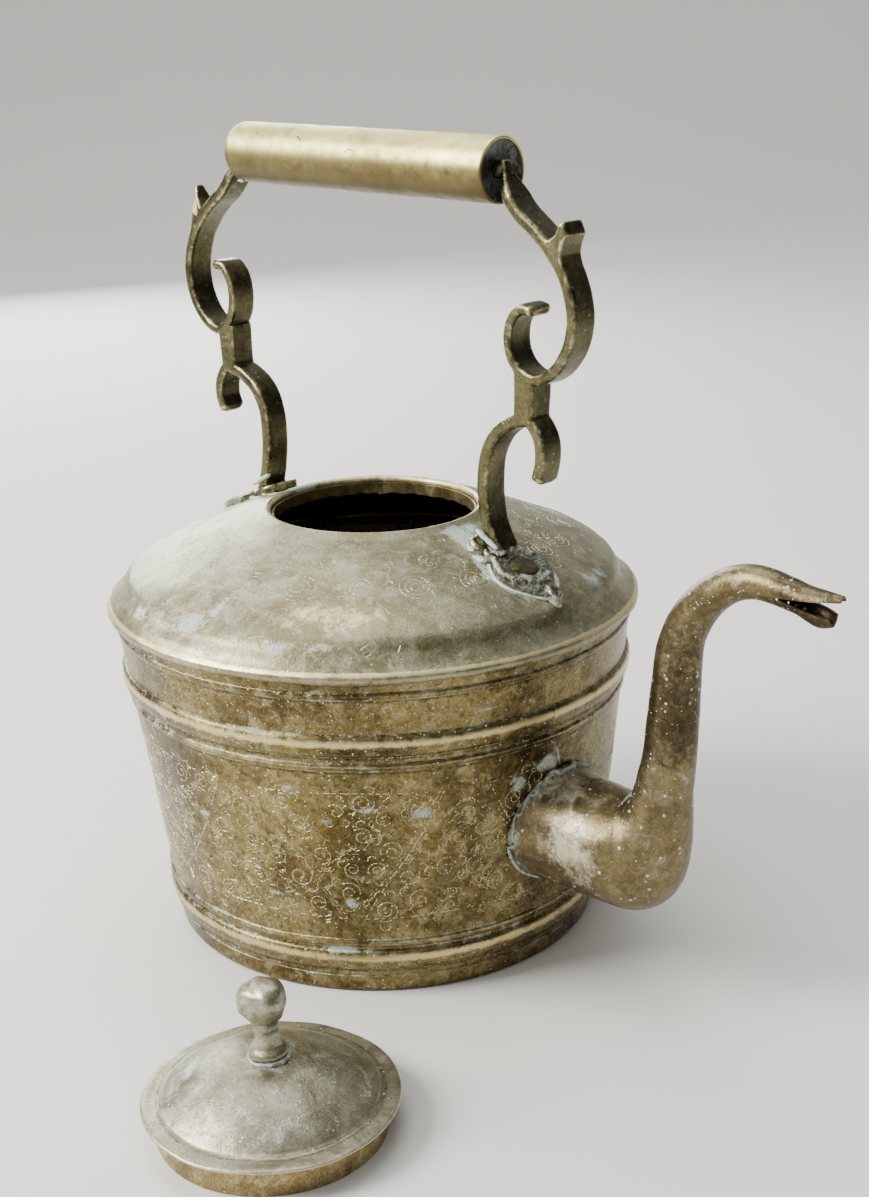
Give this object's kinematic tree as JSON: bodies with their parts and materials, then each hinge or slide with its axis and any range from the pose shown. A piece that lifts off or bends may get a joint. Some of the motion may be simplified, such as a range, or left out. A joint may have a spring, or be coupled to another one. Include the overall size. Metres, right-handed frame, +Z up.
{
  "type": "kettle",
  "caption": "Engraved old brass kettle with a scrolled bail handle, a gooseneck spout and its lid standing beside it.",
  "frame": {"origin": "where the kettle body's upright axis meets the surface it stands on", "axes": "+Z up, +X along the handle towards the spout, +Y to the left of the spout; the lid lies on the same surface towards +X and -Y"},
  "size_m": [0.3164, 0.292, 0.3112],
  "materials": {
    "wall": "satin",
    "dome": "satin",
    "bright": "satin",
    "spout": "satin",
    "arm": "satin",
    "grip": "satin",
    "cap": "satin",
    "lid": "satin",
    "skirt": "satin"
  },
  "bodies": {
    "kettle": {"base_pan": "wall", "body_wall": "wall", "dome_cover": "dome", "mouth_collar": "bright", "spout_root": "spout", "spout_neck": "spout", "handle_arm_front": "arm", "handle_arm_rear": "arm", "grip_tube": "grip", "grip_cap_front": "cap", "grip_cap_rear": "cap", "foot_rivet_front": "arm", "foot_rivet_rear": "arm", "foot_rove_front": "bright", "foot_rove_rear": "bright"},
    "lid": {"lid_cover": "lid", "lid_skirt": "skirt", "lid_knob": "lid", "lid_rove": "bright"}
  },
  "joints": [
    {"name": "lid_lift", "type": "slide", "parent": "kettle", "child": "lid", "axis": [0, 0, 1], "range_m": [0, 0.2]}
  ]
}
